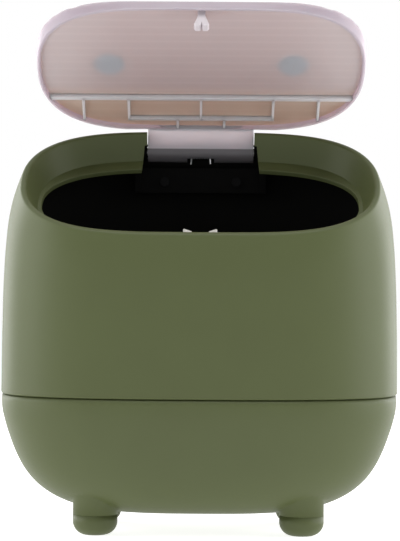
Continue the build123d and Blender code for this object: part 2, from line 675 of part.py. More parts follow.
def make_housing():
    """Sleeve for the plunger, closed at its inner end, with a screwed flange under the ledge."""
    sleeve = box_between(-HOUSING_HALF_X, HOUSING_HALF_X, -HOUSING_HALF_Y, HOUSING_HALF_Y, -HOUSING_END,
                         -HOUSING_TOP)
    flange_top = -RECESS_DEPTH - LEDGE_THICK
    flange = box_between(-FLANGE_HALF_X, FLANGE_HALF_X, -HOUSING_HALF_Y, HOUSING_HALF_Y,
                         flange_top - FLANGE_THICK, flange_top)
    bore = box_between(-HOUSING_BORE_X, HOUSING_BORE_X, -HOUSING_BORE_Y, HOUSING_BORE_Y, -HOUSING_FLOOR, 0)
    housing = sleeve + flange - bore
    for x in (-LATCH_SCREW_X, LATCH_SCREW_X):
        housing = housing - Pos(x, 0, flange_top) * Cylinder(LATCH_SCREW_R, 8)
    return housing


def make_latch_screws():
    screws = []
    low = -RECESS_DEPTH - LEDGE_THICK - FLANGE_THICK
    for x in (-LATCH_SCREW_X, LATCH_SCREW_X):
        head = Pos(x, 0, low - LATCH_HEAD_THICK / 2) * Cylinder(LATCH_HEAD_R, LATCH_HEAD_THICK)
        shank = Pos(x, 0, low + LATCH_SCREW_LENGTH / 2) * Cylinder(LATCH_SCREW_R, LATCH_SCREW_LENGTH)
        screws.append(head + shank)
    return Compound(screws)


def make_latch_spring():
    pitch = (HOUSING_FLOOR - PLUNGER_END - 2 * LATCH_SPRING_WIRE_R) / LATCH_SPRING_TURNS
    place = Plane((0, 0, -HOUSING_FLOOR + LATCH_SPRING_WIRE_R), x_dir=(1, 0, 0), z_dir=(0, 0, 1))
    edges, (p0, d0), _ = coil_path(place, LATCH_SPRING_R, pitch, LATCH_SPRING_TURNS)
    print("latch spring: least gap", round(least_gap(edges, LATCH_SPRING_WIRE_R, pi * LATCH_SPRING_R), 2))
    return tube_along(edges, p0, d0, LATCH_SPRING_WIRE_R)


def main():
    save(make_bowl(bowl_body()), "lower_bowl")
    for name, x, y in foot_places():
        save(make_foot(x, y), name)

    shell, hollow = make_shell()
    save(shell, "upper_shell")
    save(make_cradle(hollow), "hinge_cradle")
    save(make_cradle_screws(), "hinge_cradle_screws")
    save(rod_x(-CHEEK_OUT, CHEEK_OUT, PIN_Y, PIN_Z, PIN_R), "hinge_pin")
    save(make_hinge_spring(), "hinge_spring")

    edge_y, edge_z = rear_edge_open()
    lid_place = Location((0, edge_y, edge_z), (-LID_OPEN_TILT, 0, 0)) * Pos(0, LID_SKIRT_TAPER_ENDS, 0)
    arm = make_arm()
    # the skirt's rear corners beside the arm are cut back so that they swing past the rim
    left_swing = rod_x(-LID_TOP_HALF_WIDTH, -ARM_HALF_WIDTH, PIN_Y, PIN_Z, LID_SWING_R)
    right_swing = rod_x(ARM_HALF_WIDTH, LID_TOP_HALF_WIDTH, PIN_Y, PIN_Z, LID_SWING_R)
    save(lid_place * make_lid_flat() - arm - left_swing - right_swing, "lid_shell")
    save(arm, "hinge_arm")
    for name, x in (("lid_disc_left", -DISC_X), ("lid_disc_right", DISC_X)):
        save(lid_place * disc(x, DISC_FLOOR_H, DISC_TOP_H, DISC_R), name)
    save(lid_place * make_striker_flat(), "lid_striker")

    latch = latch_place().location
    save(latch * make_housing(), "latch_housing")
    save(latch * make_plunger(), "latch_plunger")
    save(latch * claw_flat(-1), "latch_claw_left")
    save(latch * claw_flat(1), "latch_claw_right")
    pins = [claw_pin(side, CLAW_PIN_R, PLUNGER_HALF_Y) for side in (-1, 1)]
    save(latch * Compound(pins), "latch_claw_pins")
    save(latch * make_latch_spring(), "latch_spring")
    save(latch * make_latch_screws(), "latch_screws")

    print("slope of the rim", round(SLOPE, 2), "opening angle", round(SLOPE + LID_OPEN_TILT, 2))
    print("lid's rear edge, open", round(edge_y, 2), round(edge_z, 2))
    print("latch axis crosses the rim plane at", [round(v, 2) for v in latch.position])


main()
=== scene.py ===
# %% [markdown]
# A small desktop bin with its lid standing open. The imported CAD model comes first, because every
# piece of this scene stands on it: the bodies that move, and the place and size of each part.
# Everything is in metres, +Z up, and the front of the bin looks towards -Y.

# %% The frame
from math import pi

import bmesh
import bpy
import numpy as np
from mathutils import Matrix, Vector


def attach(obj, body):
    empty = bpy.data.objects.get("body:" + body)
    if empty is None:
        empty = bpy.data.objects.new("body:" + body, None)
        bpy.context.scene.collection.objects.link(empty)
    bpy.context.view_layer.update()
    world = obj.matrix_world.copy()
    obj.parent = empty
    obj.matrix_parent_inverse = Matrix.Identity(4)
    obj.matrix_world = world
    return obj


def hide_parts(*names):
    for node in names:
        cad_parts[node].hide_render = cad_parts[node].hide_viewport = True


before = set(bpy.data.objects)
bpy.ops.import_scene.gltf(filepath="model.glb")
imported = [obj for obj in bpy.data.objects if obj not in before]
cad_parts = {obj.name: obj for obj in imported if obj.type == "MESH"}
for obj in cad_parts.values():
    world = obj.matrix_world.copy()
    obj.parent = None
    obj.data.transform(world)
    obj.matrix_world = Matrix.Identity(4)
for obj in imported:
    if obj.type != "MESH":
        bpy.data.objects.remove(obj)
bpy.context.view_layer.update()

MM = 0.001

# %% [markdown]
# The photograph was taken from about a metre away, at the height of the bin's middle, with a long
# lens. A camera at that distance gives the same foreshortening of the slanted top. The tilt and
# the roll are parts of a degree, read from the level lines of the object.

# %% Camera
CAMERA_FAR, CAMERA_UP = 1.1, 0.129
CAMERA_LENS = 151.9
CAMERA_TILT, CAMERA_ROLL = 0.247, -0.38

camera_data = bpy.data.cameras.new("camera")
camera_data.lens = CAMERA_LENS
camera_data.sensor_width = 36.0
camera = bpy.data.objects.new("camera", camera_data)
camera.location = (0.0, -CAMERA_FAR, CAMERA_UP)
camera.rotation_euler = np.radians((90.0 - CAMERA_TILT, CAMERA_ROLL, 0.0))
bpy.context.scene.collection.objects.link(camera)
bpy.context.scene.camera = camera

# %% [markdown]
# A product photograph like this one is lit by large soft sources at the sides and above, in a
# white room. Area lamps stand for the sources. The world stands for the room: it looks white to
# the camera and in reflections, and gives a weaker even light to the object.

# %% Lamps
bpy.context.scene.view_settings.view_transform = "Standard"


def lamp(name, place, target, size, power):
    """Rectangular area lamp at a place, turned to look at a target."""
    data = bpy.data.lights.new(name, "AREA")
    data.shape = "RECTANGLE"
    data.size, data.size_y = size
    data.energy = power
    made = bpy.data.objects.new(name, data)
    made.location = place
    away = Vector(place) - Vector(target)
    made.rotation_euler = away.to_track_quat("Z", "Y").to_euler()
    bpy.context.scene.collection.objects.link(made)
    return made


BIN_MIDDLE = (0.0, 0.0, 0.12)
for side, name in ((-1, "left"), (1, "right")):
    lamp("lamp_" + name, (0.86 * side, -0.12, 0.25), BIN_MIDDLE, (0.5, 0.9), 4.7)
    lamp("lamp_rear_" + name, (0.7 * side, 0.6, 0.25), BIN_MIDDLE, (0.5, 0.9), 4.8)
lamp("lamp_above", (0.0, -0.3, 1.1), BIN_MIDDLE, (0.9, 0.6), 5.0)
lamp("lamp_front", (0.0, -1.4, 0.3), BIN_MIDDLE, (0.8, 0.5), 0.3)

# %% [markdown]
# The world is white where the camera, a gloss or a see-through piece looks at it. For every other
# ray it is a dim grey, so that the bin isn't washed out by light from all sides.

# %% World
ROOM_GREY = 0.15


def looked_at(tree):
    """1 for camera, glossy and transmission rays, 0 for the rest."""
    path = tree.nodes.new("ShaderNodeLightPath")
    seen = path.outputs["Is Camera Ray"]
    for name in ("Is Glossy Ray", "Is Transmission Ray"):
        either = tree.nodes.new("ShaderNodeMath")
        either.operation = "MAXIMUM"
        tree.links.new(seen, either.inputs[0])
        tree.links.new(path.outputs[name], either.inputs[1])
        seen = either.outputs[0]
    return seen


def make_world():
    """White for the rays that look at it, grey for the rest."""
    world = bpy.data.worlds.new("white_room")
    bpy.context.scene.world = world
    world.use_nodes = True
    tree = world.node_tree
    tree.nodes.clear()
    seen = looked_at(tree)
    level = tree.nodes.new("ShaderNodeMapRange")
    tree.links.new(seen, level.inputs["Value"])
    level.inputs["To Min"].default_value = ROOM_GREY
    level.inputs["To Max"].default_value = 1.0
    background = tree.nodes.new("ShaderNodeBackground")
    background.inputs["Color"].default_value = (1.0, 1.0, 1.0, 1.0)
    tree.links.new(level.outputs[0], background.inputs["Strength"])
    out = tree.nodes.new("ShaderNodeOutputWorld")
    tree.links.new(background.outputs[0], out.inputs["Surface"])


make_world()

# %% [markdown]
# Shader maths reads best as a formula. The class below wraps a socket, so that a sum or a product
# of sockets adds the Math nodes by itself. Any other node comes from one method of a finish.

# %% Shader helpers


class Wire:
    """One output of a shader node, with the operators that the finishes use."""

    def __init__(self, finish, socket):
        self.finish, self.socket = finish, socket

    def maths(self, operation, first, second=None):
        values = [first] if second is None else [first, second]
        sockets = dict(enumerate(values))
        return self.finish.node("ShaderNodeMath", {"operation": operation}, sockets)

    def __add__(self, other):
        return self.maths("ADD", self, other)

    def __sub__(self, other):
        return self.maths("SUBTRACT", self, other)

    def __mul__(self, other):
        return self.maths("MULTIPLY", self, other)


def linear(colour):
    """Linear values of a colour given as 0 to 255, the way a picture stores it."""
    share = np.array(colour) / 255
    return np.where(share <= 0.04045, share / 12.92, ((share + 0.055) / 1.055) ** 2.4).tolist()


class Finish:
    """A material on one Principled shader."""

    def __init__(self, name, roughness, **fixed):
        self.material = bpy.data.materials.new(name)
        self.material.use_nodes = True
        self.tree = self.material.node_tree
        self.shader = self.tree.nodes["Principled BSDF"]
        self.shader.inputs["Roughness"].default_value = roughness
        for socket, value in fixed.items():
            self.shader.inputs[socket.replace("_", " ")].default_value = value

    def node(self, kind, settings, sockets, out=0):
        made = self.tree.nodes.new(kind)
        for name, value in settings.items():
            setattr(made, name, value)
        for name, value in sockets.items():
            if isinstance(value, Wire):
                self.tree.links.new(value.socket, made.inputs[name])
            else:
                made.inputs[name].default_value = value
        return Wire(self, made.outputs[out])

    def place(self):
        """Position on the piece, in metres."""
        return self.node("ShaderNodeTexCoord", {}, {}, "Object")

    def noise(self, scale, detail=2.0):
        sockets = {"Vector": self.place(), "Scale": scale, "Detail": detail}
        return self.node("ShaderNodeTexNoise", {}, sockets, "Fac")

    def mix(self, share, low, high):
        """Colour between low and high."""
        def whole(colour):
            return colour if isinstance(colour, Wire) else (*linear(colour), 1.0)
        sockets = {"Factor": share, 6: whole(low), 7: whole(high)}
        return self.node("ShaderNodeMix", {"data_type": "RGBA"}, sockets, 2)

    def parts(self, vector):
        """The x, y and z of a vector."""
        made = self.tree.nodes.new("ShaderNodeSeparateXYZ")
        self.tree.links.new(vector.socket, made.inputs[0])
        return [Wire(self, out) for out in made.outputs]

    def ramp(self, value, low, high):
        """0 up to low and 1 from high on, with a smooth rise between."""
        sockets = {"Value": value, "From Min": low, "From Max": high}
        return self.node("ShaderNodeMapRange", {"interpolation_type": "SMOOTHSTEP"}, sockets)

    def feed(self, name, wire):
        self.tree.links.new(wire.socket, self.shader.inputs[name])

    def grain(self, height, depth):
        """Raised grain: a height between 0 and 1, depth metres high."""
        bump = self.node("ShaderNodeBump", {}, {"Height": height, "Distance": depth, "Strength": 1.0})
        self.feed("Normal", bump)


# %% [markdown]
# The body is moulded in an olive plastic with a fine satin texture: a real mould surface is
# lightly eroded, which breaks up the gloss. A fine noise does the same to the normal, and a broad
# faint one varies the colour as flow in the mould does.

# %% Body plastic
BODY_GREEN_LOW, BODY_GREEN_HIGH = (79, 86, 51), (82, 90, 54)


def body_plastic():
    finish = Finish("olive_plastic", 0.5, Specular_IOR_Level=0.32)
    colour = finish.mix(finish.noise(38.0), BODY_GREEN_LOW, BODY_GREEN_HIGH)
    finish.feed("Base Color", colour)
    finish.feed("Roughness", finish.noise(900.0) * 0.1 + 0.44)
    finish.grain(finish.noise(2600.0, 1.0), 0.00002)
    return finish.material


OLIVE = body_plastic()

# %% [markdown]
# Down inside, the walls get almost no light and look black. The walls below the ledge and inside
# the bowl are painted near-black and matt: painted shade for that darkness.

# %% Inside of the bin


def shade_paint_inside_finish():
    finish = Finish("shaded_inside", 0.85, Specular_IOR_Level=0.1)
    finish.feed("Base Color", finish.mix(finish.noise(60.0), (13, 13, 12), (17, 17, 15)))
    finish.grain(finish.noise(2600.0, 1.0), 0.00002)
    return finish.material


INSIDE_SHADE_PAINT = shade_paint_inside_finish()

# %% [markdown]
# The lid and its strap are moulded in a pale, slightly see-through plastic, so light from above
# comes through, which subsurface scattering gives. From below, the ridges of the top show as faint
# lines of light and the two discs as soft grey rounds of shade; both are painted into the colour, as
# painted light and painted shade. The sides of the tray's ceiling are painted lighter and its ribs
# much paler, as painted light, and the colour turns warmer towards the rear edge. The strap is
# painted darker below a height, as painted shade on its barrel down in the slot. The pattern follows
# the lid's own flat coordinates, kept in an attribute of its mesh together with a mark: 1 on the
# ceiling of the tray, 2 on its ribs and 0 elsewhere.

# %% Lid plastic
LID_SIDE_LIT, LID_MIDDLE, LID_REAR = (186, 177, 178), (179, 167, 168), (190, 171, 156)
SKIRT_PALE, RIB_PAINTED_LIGHT, RIDGE_LINE_LIGHT = (176, 166, 176), (236, 226, 230), (222, 212, 210)
STRAP_LOW, STRAP_HIGH, STRAP_PAINTED_SHADE = (200, 193, 200), (205, 198, 205), (102, 99, 103)
STRAP_SHADE_Z = 184.9 * MM
DISC_SHADE_GREY = (180, 179, 185)
RIDGE_PITCH = 91.2 / 18 * MM
DISC_X, DISC_S, DISC_R = 44.6 * MM, 47.5 * MM, 7.7 * MM
SIDE_LIGHT_FADE, REAR_FADE, DISC_FADE = (0.03, 0.078), (0.034, 0.018), (1.25 * DISC_R, 0.6 * DISC_R)
REAR_SHARE, LINE_SHARE = 0.85, 0.08
STRAP_SHADE_SOFT = 0.3 * MM
SEE_THROUGH = {
    "Subsurface_Weight": 0.7,
    "Subsurface_Radius": (1.0, 0.82, 0.78),
    "Subsurface_Scale": 0.008,
}


def lid_plastic(name, patterned):
    finish = Finish(name, 0.45, **SEE_THROUGH)
    if not patterned:
        height = finish.parts(finish.place())[2]
        colour = finish.mix(finish.noise(60.0), STRAP_LOW, STRAP_HIGH)
        # Below a set height the strap is painted darker: painted shade on its barrel down in the slot.
        shade = finish.ramp(height, STRAP_SHADE_Z + STRAP_SHADE_SOFT, STRAP_SHADE_Z - STRAP_SHADE_SOFT)
        finish.feed("Base Color", finish.mix(shade, colour, STRAP_PAINTED_SHADE))
        finish.grain(finish.noise(2600.0, 1.0), 0.00001)
        return finish.material
    flat = finish.node("ShaderNodeAttribute", {"attribute_name": "flat"}, {}, "Vector")
    across, along, mark = finish.parts(flat)
    # The sides of the ceiling are painted lighter: painted light.
    side = finish.ramp(across.maths("ABSOLUTE", across), *SIDE_LIGHT_FADE)
    colour = finish.mix(side, LID_MIDDLE, LID_SIDE_LIT)
    rear = finish.ramp(along * -1.0, *REAR_FADE)
    colour = finish.mix(rear * REAR_SHARE, colour, LID_REAR)
    # Faint pale lines at the ridge pitch: painted light coming through the ridges.
    wave = along.maths("SINE", along * (2 * pi / RIDGE_PITCH)) * 0.5 + 0.5
    colour = finish.mix(wave * wave * wave * wave * LINE_SHARE, colour, RIDGE_LINE_LIGHT)
    # Soft grey rounds under the discs: painted shade where the discs hold back the light.
    for middle in (-DISC_X, DISC_X):
        gap_x = across - middle
        gap_s = along + DISC_S
        far = across.maths("SQRT", gap_x * gap_x + gap_s * gap_s)
        colour = finish.mix(finish.ramp(far, *DISC_FADE), colour, DISC_SHADE_GREY)
    colour = finish.mix(finish.ramp(mark, 0.5, 1.0), SKIRT_PALE, colour)
    # The ribs are painted much paler than the ceiling: painted light.
    finish.feed("Base Color", finish.mix(finish.ramp(mark, 1.5, 2.0), colour, RIB_PAINTED_LIGHT))
    finish.grain(finish.noise(2600.0, 1.0), 0.00001)
    return finish.material


LID_PALE = lid_plastic("pale_lid_plastic", True)
STRAP_PALE = lid_plastic("pale_strap_plastic", False)

# %% [markdown]
# The small parts: steel for the pin and springs, an off-white plastic for the claws, and a grey one
# for the discs. The screws, the cradle and the latch's housing are painted near-black, in a steel and
# a plastic finish, as painted shade for the dark inside where they sit.

# %% Small parts' finishes


def plain_plastic(name, low, high, roughness, gloss=0.5):
    finish = Finish(name, roughness, Specular_IOR_Level=gloss)
    finish.feed("Base Color", finish.mix(finish.noise(120.0), low, high))
    finish.grain(finish.noise(3000.0, 1.0), 0.00001)
    return finish.material


def steel():
    finish = Finish("plated_steel", 0.3, Metallic=1.0)
    finish.feed("Base Color", finish.mix(finish.noise(400.0), (170, 170, 172), (196, 196, 198)))
    finish.feed("Roughness", finish.noise(1200.0) * 0.15 + 0.25)
    return finish.material


STEEL = steel()
# Near-black screws, cradle and latch housing: painted shade for the dark inside where they sit.
BLACK_STEEL_FOR_SHADE = plain_plastic("blacked_steel", (8, 8, 9), (11, 11, 12), 0.85, 0.15)
DARK_FOR_SHADE = plain_plastic("dark_plastic", (6, 6, 6), (9, 9, 8), 0.85, 0.1)
OFF_WHITE = plain_plastic("off_white_plastic", (204, 202, 194), (212, 210, 204), 0.4)
LILAC_WHITE = plain_plastic("lilac_white_plastic", (212, 203, 208), (217, 208, 213), 0.4)
DISC_PLASTIC = plain_plastic("grey_disc_plastic", (156, 155, 160), (166, 165, 170), 0.45)

# %% [markdown]
# Pieces whose solids already have the right shape come from the CAD mesh. It is loose triangles,
# so a copy is merged, its flat faces are made whole, and a narrow bevel breaks the edges, as on
# any moulded or turned part.

# %% Softened copies


SHARP_FROM = np.radians(35.0)


def softened(node, body, material, width):
    """Merged copy of a CAD node with smooth faces, and with bevelled edges if a width is given."""
    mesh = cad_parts[node].data.copy()
    shape = bmesh.new()
    shape.from_mesh(mesh)
    bmesh.ops.remove_doubles(shape, verts=shape.verts, dist=1e-6)
    if width:
        bmesh.ops.dissolve_limit(shape, angle_limit=np.radians(1.0), verts=shape.verts, edges=shape.edges)
    shape.to_mesh(mesh)
    shape.free()
    mesh.materials.clear()
    mesh.materials.append(material)
    mesh.shade_smooth()
    mesh.set_sharp_from_angle(angle=SHARP_FROM)
    piece = bpy.data.objects.new(node + "_finished", mesh)
    bpy.context.scene.collection.objects.link(piece)
    if width:
        bevel = piece.modifiers.new("edges", "BEVEL")
        bevel.width = width
        bevel.segments = 2
        bevel.limit_method = "ANGLE"
        bevel.angle_limit = SHARP_FROM
        bevel.harden_normals = True
    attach(piece, body)
    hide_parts(node)
    return piece


COPIES = (
    ("lower_bowl", "base", OLIVE, "body_green", 0.0),
    ("front_left_foot", "base", OLIVE, "foot_rubber", 0.0),
    ("front_right_foot", "base", OLIVE, "foot_rubber", 0.0),
    ("rear_left_foot", "base", OLIVE, "foot_rubber", 0.0),
    ("rear_right_foot", "base", OLIVE, "foot_rubber", 0.0),
    ("hinge_cradle", "shell", DARK_FOR_SHADE, "dark_plastic", 0.0003),
    ("hinge_cradle_screws", "shell", BLACK_STEEL_FOR_SHADE, "steel", 0.00015),
    ("hinge_pin", "shell", STEEL, "steel", 0.0002),
    ("hinge_spring", "shell", STEEL, "steel", 0.0),
    ("latch_housing", "shell", DARK_FOR_SHADE, "dark_plastic", 0.0002),
    ("latch_spring", "shell", STEEL, "steel", 0.0),
    ("latch_screws", "shell", BLACK_STEEL_FOR_SHADE, "steel", 0.00015),
    ("latch_plunger", "plunger", OFF_WHITE, "latch_plastic", 0.0002),
    ("latch_claw_pins", "plunger", STEEL, "steel", 0.0001),
    ("latch_claw_left", "claw_left", OFF_WHITE, "latch_plastic", 0.0002),
    ("latch_claw_right", "claw_right", OFF_WHITE, "latch_plastic", 0.0002),
    ("lid_striker", "lid", LILAC_WHITE, "latch_plastic", 0.0003),
    ("lid_disc_left", "lid", DISC_PLASTIC, "disc_plastic", 0.0004),
    ("lid_disc_right", "lid", DISC_PLASTIC, "disc_plastic", 0.0004),
    ("hinge_arm", "lid", STRAP_PALE, "lid_plastic", 0.0003),
)
for node, body, material, slot, width in COPIES:
    piece = softened(node, body, material, width)
    if node == "lower_bowl":
        bowl = piece
print("softened copies", len(COPIES))

# %% [markdown]
# The inside of the bowl takes the near-black painted shade. A face belongs to the inside if its middle lies
# within the bowl's own outline, drawn in by a little less than the wall's thickness, or if it looks
# up from below the seam, as no outer face does.

# %% Inside of the bowl
BOWL_OUTLINE = np.array(((10.0, 42.0), (11.4, 54.0), (16.0, 68.0), (21.8, 76.9), (30.5, 84.3),
                         (44.9, 90.8), (64.7, 94.5), (80.0, 94.5)))
BOWL_DEPTH, BOWL_FULLNESS = 57.2, 0.9
BOWL_POWERS = (2.9, 2.4)
INSIDE_STEP, UNDERSIDE_Z, UPPER_Z, LOOKS_UP = 1.6, 10.5, 62.0, 0.05


def face_values(mesh, name):
    values = np.empty(3 * len(mesh.polygons), np.float32)
    mesh.polygons.foreach_get(name, values)
    return values.reshape(-1, 3)


def shade_paint_bowl(piece):
    """Second material, the near-black painted shade, on the faces of a bowl that belong to its inside."""
    middle = face_values(piece.data, "center") / MM
    height = middle[:, 2]
    wide = np.interp(height - INSIDE_STEP, BOWL_OUTLINE[:, 0], BOWL_OUTLINE[:, 1])
    deep = BOWL_DEPTH * (wide / BOWL_OUTLINE[-1, 1]) ** BOWL_FULLNESS
    across = (np.abs(middle[:, 0]) / (wide - INSIDE_STEP)) ** BOWL_POWERS[0]
    along = (np.abs(middle[:, 1]) / (deep - INSIDE_STEP)) ** BOWL_POWERS[1]
    looks_up = (face_values(piece.data, "normal")[:, 2] > LOOKS_UP) & (height < UPPER_Z)
    inside = ((across + along < 1) | looks_up) & (height > UNDERSIDE_Z)
    piece.data.materials.append(INSIDE_SHADE_PAINT)
    piece.data.polygons.foreach_set("material_index", inside.astype(np.int32))
    return int(inside.sum())


print("bowl faces in the dark finish", shade_paint_bowl(bowl))

# %% [markdown]
# The upper shell and the lid are the two surfaces that everybody sees, so they are worked out
# anew. Both are ovals whose sides are flatter than an ellipse's: a point at a given turn lies
# where |x| to one power plus |y| to another is one.

# %% Ovals and grids


def oval_reach(turns, across, along):
    """Reach of the unit oval |r cos|^across + |r sin|^along = 1 at each turn, by halving."""
    low, high = np.full_like(turns, 0.5), np.full_like(turns, 2.0)
    for _ in range(45):
        middle = (low + high) / 2
        inside = np.abs(middle * np.cos(turns)) ** across + np.abs(middle * np.sin(turns)) ** along < 1
        low, high = np.where(inside, middle, low), np.where(inside, high, middle)
    return low


def mesh_piece(name, points, faces, material):
    """Mesh object from arrays, turned right side out and shaded smooth."""
    mesh = bpy.data.meshes.new(name)
    mesh.from_pydata(points.tolist(), [], faces)
    shape = bmesh.new()
    shape.from_mesh(mesh)
    bmesh.ops.recalc_face_normals(shape, faces=shape.faces)
    shape.to_mesh(mesh)
    shape.free()
    mesh.materials.append(material)
    mesh.shade_smooth()
    piece = bpy.data.objects.new(name, mesh)
    bpy.context.scene.collection.objects.link(piece)
    return piece


def ring_faces(rows, columns, close_rows):
    """Quads between neighbouring rows of a grid whose columns go all the way round."""
    here = np.arange(rows if close_rows else rows - 1)[:, None] * columns
    above = (np.arange(1, (rows if close_rows else rows - 1) + 1)[:, None] % rows) * columns
    step = np.arange(columns)[None, :]
    ahead = (step + 1) % columns
    quads = np.stack([here + step, here + ahead, above + ahead, above + step], axis=-1)
    return quads.reshape(-1, 4).tolist()


def cubic_through(rows, at):
    """Smooth curve through rows at 0, 1, 2...: a natural cubic spline, for all columns at once."""
    count = len(rows)
    solve = np.zeros((count, count))
    solve[0, 0] = solve[-1, -1] = 1.0
    for i in range(1, count - 1):
        solve[i, i - 1:i + 2] = 1.0, 4.0, 1.0
    bend = np.zeros_like(rows)
    bend[1:-1] = 6 * (rows[2:] - 2 * rows[1:-1] + rows[:-2])
    bend = np.linalg.solve(solve, bend.reshape(count, -1)).reshape(rows.shape)
    at = np.asarray(at, float)
    i = np.clip(np.floor(at).astype(int), 0, count - 2)
    t = (at - i)[:, None, None]
    low, high = rows[i], rows[i + 1]
    return (low * (1 - t) + high * t + bend[i] * ((1 - t) ** 3 - (1 - t)) / 6
            + bend[i + 1] * (t ** 3 - t) / 6)


# %% [markdown]
# The shell's outer wall passes through ovals on planes that tilt more and more towards the rim.
# Then come the rounded lip, the funnel, the ledge and the mouth, and the way back down inside.
# One closed grid carries all of it, so the wall has its real thickness everywhere.

# %% Upper shell
SHELL_RINGS = np.array((
    (-57.5, 65.4, 57.5, 65.4, 95.0, 2.9, 2.4),
    (-57.4, 74.5, 57.5, 82.0, 94.9, 2.9, 2.4),
    (-57.3, 83.5, 57.5, 98.5, 94.8, 2.9, 2.4),
    (-57.2, 92.5, 57.5, 115.0, 94.6, 2.9, 2.4),
    (-57.0, 101.3, 57.4, 131.5, 94.3, 2.9, 2.4),
    (-56.7, 110.2, 57.3, 148.0, 93.8, 3.0, 2.38),
    (-56.2, 120.0, 57.0, 163.5, 92.9, 3.15, 2.35),
    (-55.1, 129.5, 54.8, 180.5, 90.9, 3.45, 2.3),
    (-52.37, 141.21, 40.37, 193.44, 85.9, 3.9, 2.3),
))
INNER_DROP = (0.0, 0.0, 0.0, 0.0, 0.1, 0.2, 0.4, 1.0, 2.4)
WALL = 2.2
LIP, LIP_ROUND = 2.4, 1.0
RECESS_DEPTH, RECESS_INSET, LEDGE = 12.6, 7.7, 2.2
MOUTH_WIDE, MOUTH_LONG, MOUTH_SHIFT = 76.4, 36.4, 0.6
MOUTH_POWERS = (3.2, 2.3)
TURNS = np.linspace(0, 2 * pi, 288, endpoint=False)


def slanted_oval(ring, inset=0.0, drop=0.0, half=None, powers=None, shift=0.0):
    """Points of one oval on the plane through a front and a rear point, in metres."""
    front, rear = ring[0:2], ring[2:4]
    length = np.hypot(*(rear - front))
    slope = (rear - front) / length
    half_wide, half_long = half or (ring[4] - inset, length / 2 - inset)
    reach = oval_reach(TURNS, *(powers or ring[5:7]))
    wide, long = half_wide * reach * np.cos(TURNS), half_long * reach * np.sin(TURNS) + shift
    middle = (front + rear) / 2 - drop * np.array((-slope[1], slope[0]))
    return np.stack([wide, middle[0] + slope[0] * long, middle[1] + slope[1] * long], axis=-1) * MM


def rim(depth, inset):
    return slanted_oval(SHELL_RINGS[-1], inset, depth)


def mouth(depth, grow=0.0):
    half = (MOUTH_WIDE + grow, MOUTH_LONG + grow)
    return slanted_oval(SHELL_RINGS[-1], 0.0, depth, half, MOUTH_POWERS, MOUTH_SHIFT)


def rounding(start, corner, end, steps=6):
    """Rows of a curve that leaves start and reaches end along the lines to their corner."""
    t = np.linspace(0, 1, steps + 1)[:, None, None]
    return (1 - t) ** 2 * start + 2 * t * (1 - t) * corner + t ** 2 * end


def shell_rows():
    outer_rings = np.array([slanted_oval(ring) for ring in SHELL_RINGS])
    inner_rings = np.array([slanted_oval(r, WALL, d) for r, d in zip(SHELL_RINGS, INNER_DROP)])
    funnel = (RECESS_INSET - LIP) / RECESS_DEPTH
    outer = cubic_through(outer_rings, np.linspace(0.055, 7.93, 110))
    seam = slanted_oval(SHELL_RINGS[0], 0.5)
    low = RECESS_DEPTH + LEDGE
    rows = [
        seam[None], outer,
        rounding(outer[-1], rim(0, 0), rim(0, LIP_ROUND)),
        rounding(rim(0, LIP - LIP_ROUND), rim(0, LIP), rim(LIP_ROUND, LIP + LIP_ROUND * funnel)),
        np.array([rim(d, LIP + d * funnel) for d in np.linspace(1.5, RECESS_DEPTH, 12)]),
        np.array([rim(RECESS_DEPTH, RECESS_INSET + 0.1)]),
        rounding(mouth(RECESS_DEPTH, 0.5), mouth(RECESS_DEPTH), mouth(RECESS_DEPTH + 0.5), 4),
        mouth(low)[None],
        np.array([rim(d, 0.4 + d * funnel) for d in np.linspace(low, 5.0, 5)]),
        cubic_through(inner_rings, np.linspace(7.75, 0.0, 40)),
    ]
    return np.concatenate(rows)


def prism(name, corners, y_low, y_high):
    """Closed prism along Y over a polygon of (X, Z) corners, in millimetres."""
    corners = np.array(corners)
    count = len(corners)
    ends = [np.column_stack([corners[:, 0], np.full(count, y), corners[:, 1]]) for y in (y_low, y_high)]
    faces = [list(range(count)), list(range(2 * count - 1, count - 1, -1))]
    faces += [[i, (i + 1) % count, count + (i + 1) % count, count + i] for i in range(count)]
    return mesh_piece(name, np.concatenate(ends) * MM, faces, OLIVE)


def ledge_box(name, half_wide, half_long, at, high, low):
    """Box set square to the rim plane: its middle a distance from the front crest, between two depths."""
    front, rear = SHELL_RINGS[-1][0:2], SHELL_RINGS[-1][2:4]
    slope = (rear - front) / np.hypot(*(rear - front))
    corners = []
    for depth in (low, high):
        for x, long in ((-1, -1), (1, -1), (1, 1), (-1, 1)):
            spot = front + slope * (at + long * half_long) - depth * np.array((-slope[1], slope[0]))
            corners.append((x * half_wide, *spot))
    sides = [[i, (i + 1) % 4, 4 + (i + 1) % 4, 4 + i] for i in range(4)]
    return mesh_piece(name, np.array(corners) * MM, [[0, 1, 2, 3], [7, 6, 5, 4], *sides], OLIVE)


def cut(piece, cutter):
    """Takes a cutter's space out of a piece, and the cutter out of the scene."""
    modifier = piece.modifiers.new("cut", "BOOLEAN")
    modifier.operation = "DIFFERENCE"
    modifier.solver = "EXACT"
    modifier.object = cutter
    graph = bpy.context.evaluated_depsgraph_get()
    done = bpy.data.meshes.new_from_object(piece.evaluated_get(graph))
    piece.modifiers.clear()
    piece.data = done
    bpy.data.objects.remove(cutter)


INNER_ROWS = 46
SLOT_HALF, SLOT_FLOOR, SLOT_TOP, SLOT_BACK = 26.8, 187.2, 202.0, 62.0
NOTCH = [(-28.0, 186.2), (-29.3, 171.5), (29.3, 171.5), (28.0, 186.2)]
NOTCH_FRONT, NOTCH_MIDDLE, NOTCH_BACK = 26.0, 46.4, 50.4
LATCH_AT, LATCH_HALF_WIDE, LATCH_HALF_LONG = 11.6, 9.1, 3.9


def slot_top(floor):
    """Corners of the strap's slot above a height."""
    return [(SLOT_HALF, floor), (SLOT_HALF, SLOT_TOP), (-SLOT_HALF, SLOT_TOP), (-SLOT_HALF, floor)]


